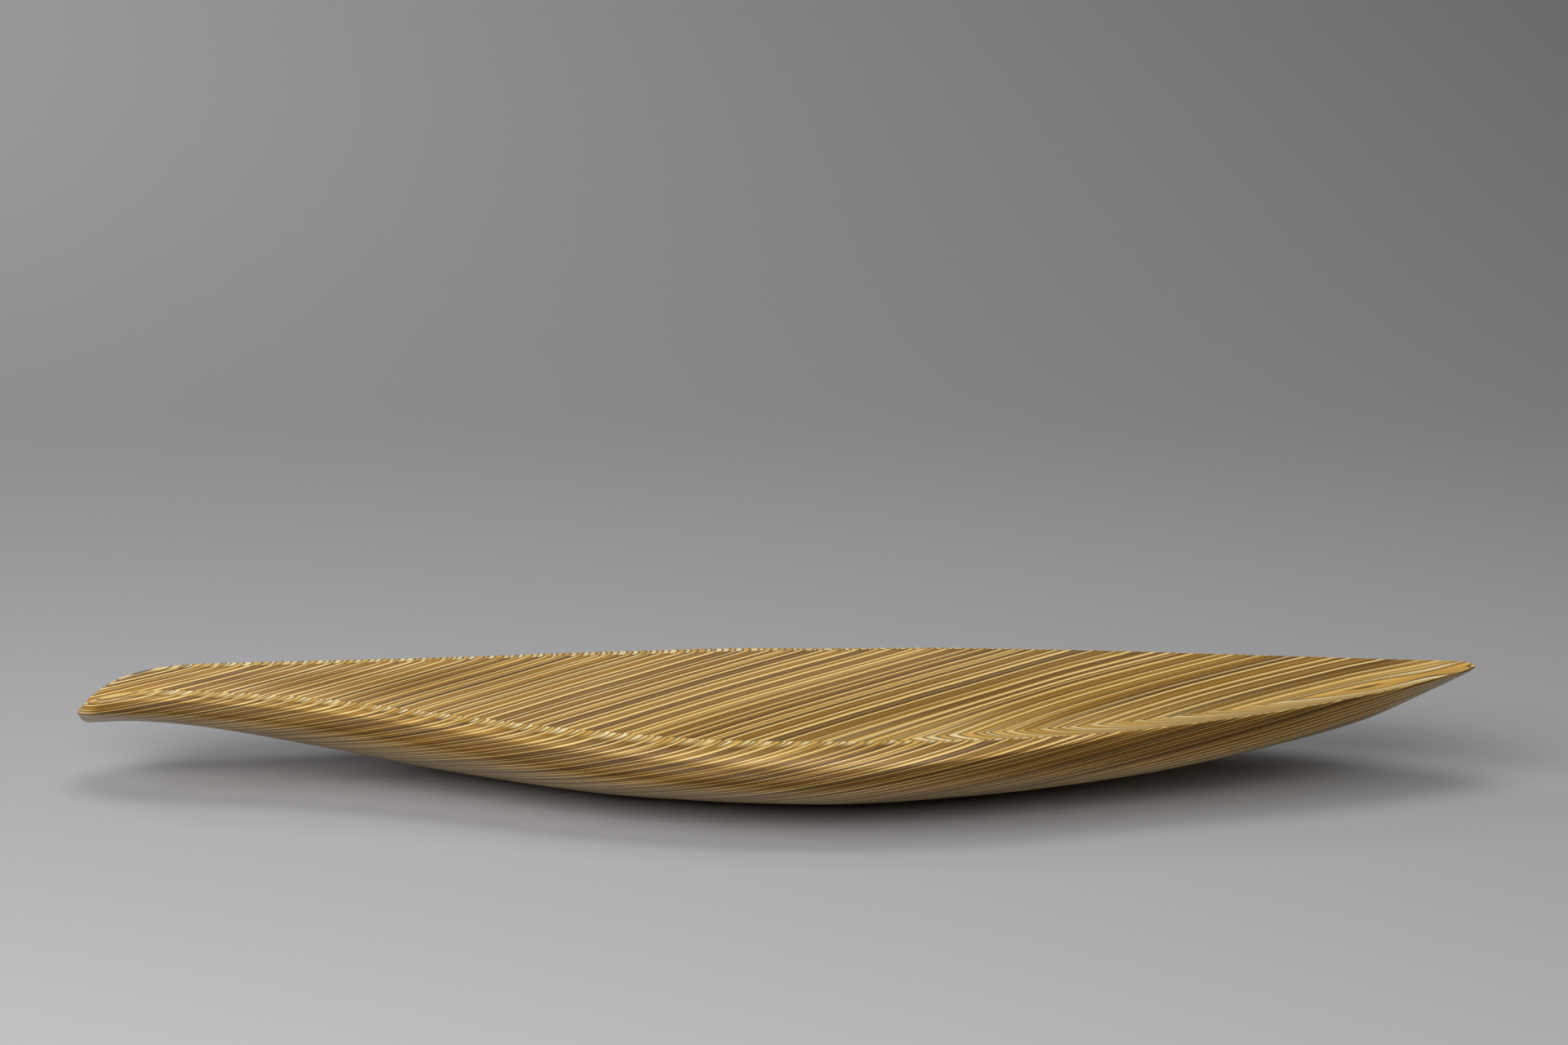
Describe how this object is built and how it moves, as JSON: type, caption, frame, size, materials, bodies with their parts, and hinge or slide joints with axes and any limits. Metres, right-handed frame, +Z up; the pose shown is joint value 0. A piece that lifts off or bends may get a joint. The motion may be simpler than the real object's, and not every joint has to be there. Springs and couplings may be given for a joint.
{
  "type": "leaf-shaped serving dish",
  "caption": "Shallow leaf-shaped serving dish carved from a slanted stack of thin birch plies, with a blunt stem end and a sharp raised tip.",
  "frame": {"origin": "on the table under the middle of the dish's length, on the line of the midrib", "axes": "+X towards the sharp tip, -X towards the blunt stem end, +Z up out of the hollow, +Y square to the midrib towards the back of the picture"},
  "size_m": [0.481, 0.199, 0.0406],
  "materials": {
    "laminated_birch": "birch plies glued in a stack, carved and sanded smooth, thin satin clear coat"
  },
  "bodies": {
    "root": {"ply_pack_01": "laminated_birch", "ply_pack_02": "laminated_birch", "ply_pack_03": "laminated_birch", "ply_pack_04": "laminated_birch", "ply_pack_05": "laminated_birch", "ply_pack_06": "laminated_birch", "ply_pack_07": "laminated_birch", "ply_pack_08": "laminated_birch", "ply_pack_09": "laminated_birch", "ply_pack_10": "laminated_birch", "ply_pack_11": "laminated_birch", "ply_pack_12": "laminated_birch", "ply_pack_13": "laminated_birch", "ply_pack_14": "laminated_birch", "ply_pack_15": "laminated_birch", "ply_pack_16": "laminated_birch", "ply_pack_17": "laminated_birch", "ply_pack_18": "laminated_birch", "ply_pack_19": "laminated_birch", "ply_pack_20": "laminated_birch", "ply_pack_21": "laminated_birch", "ply_pack_22": "laminated_birch", "ply_pack_23": "laminated_birch"}
  },
  "joints": []
}
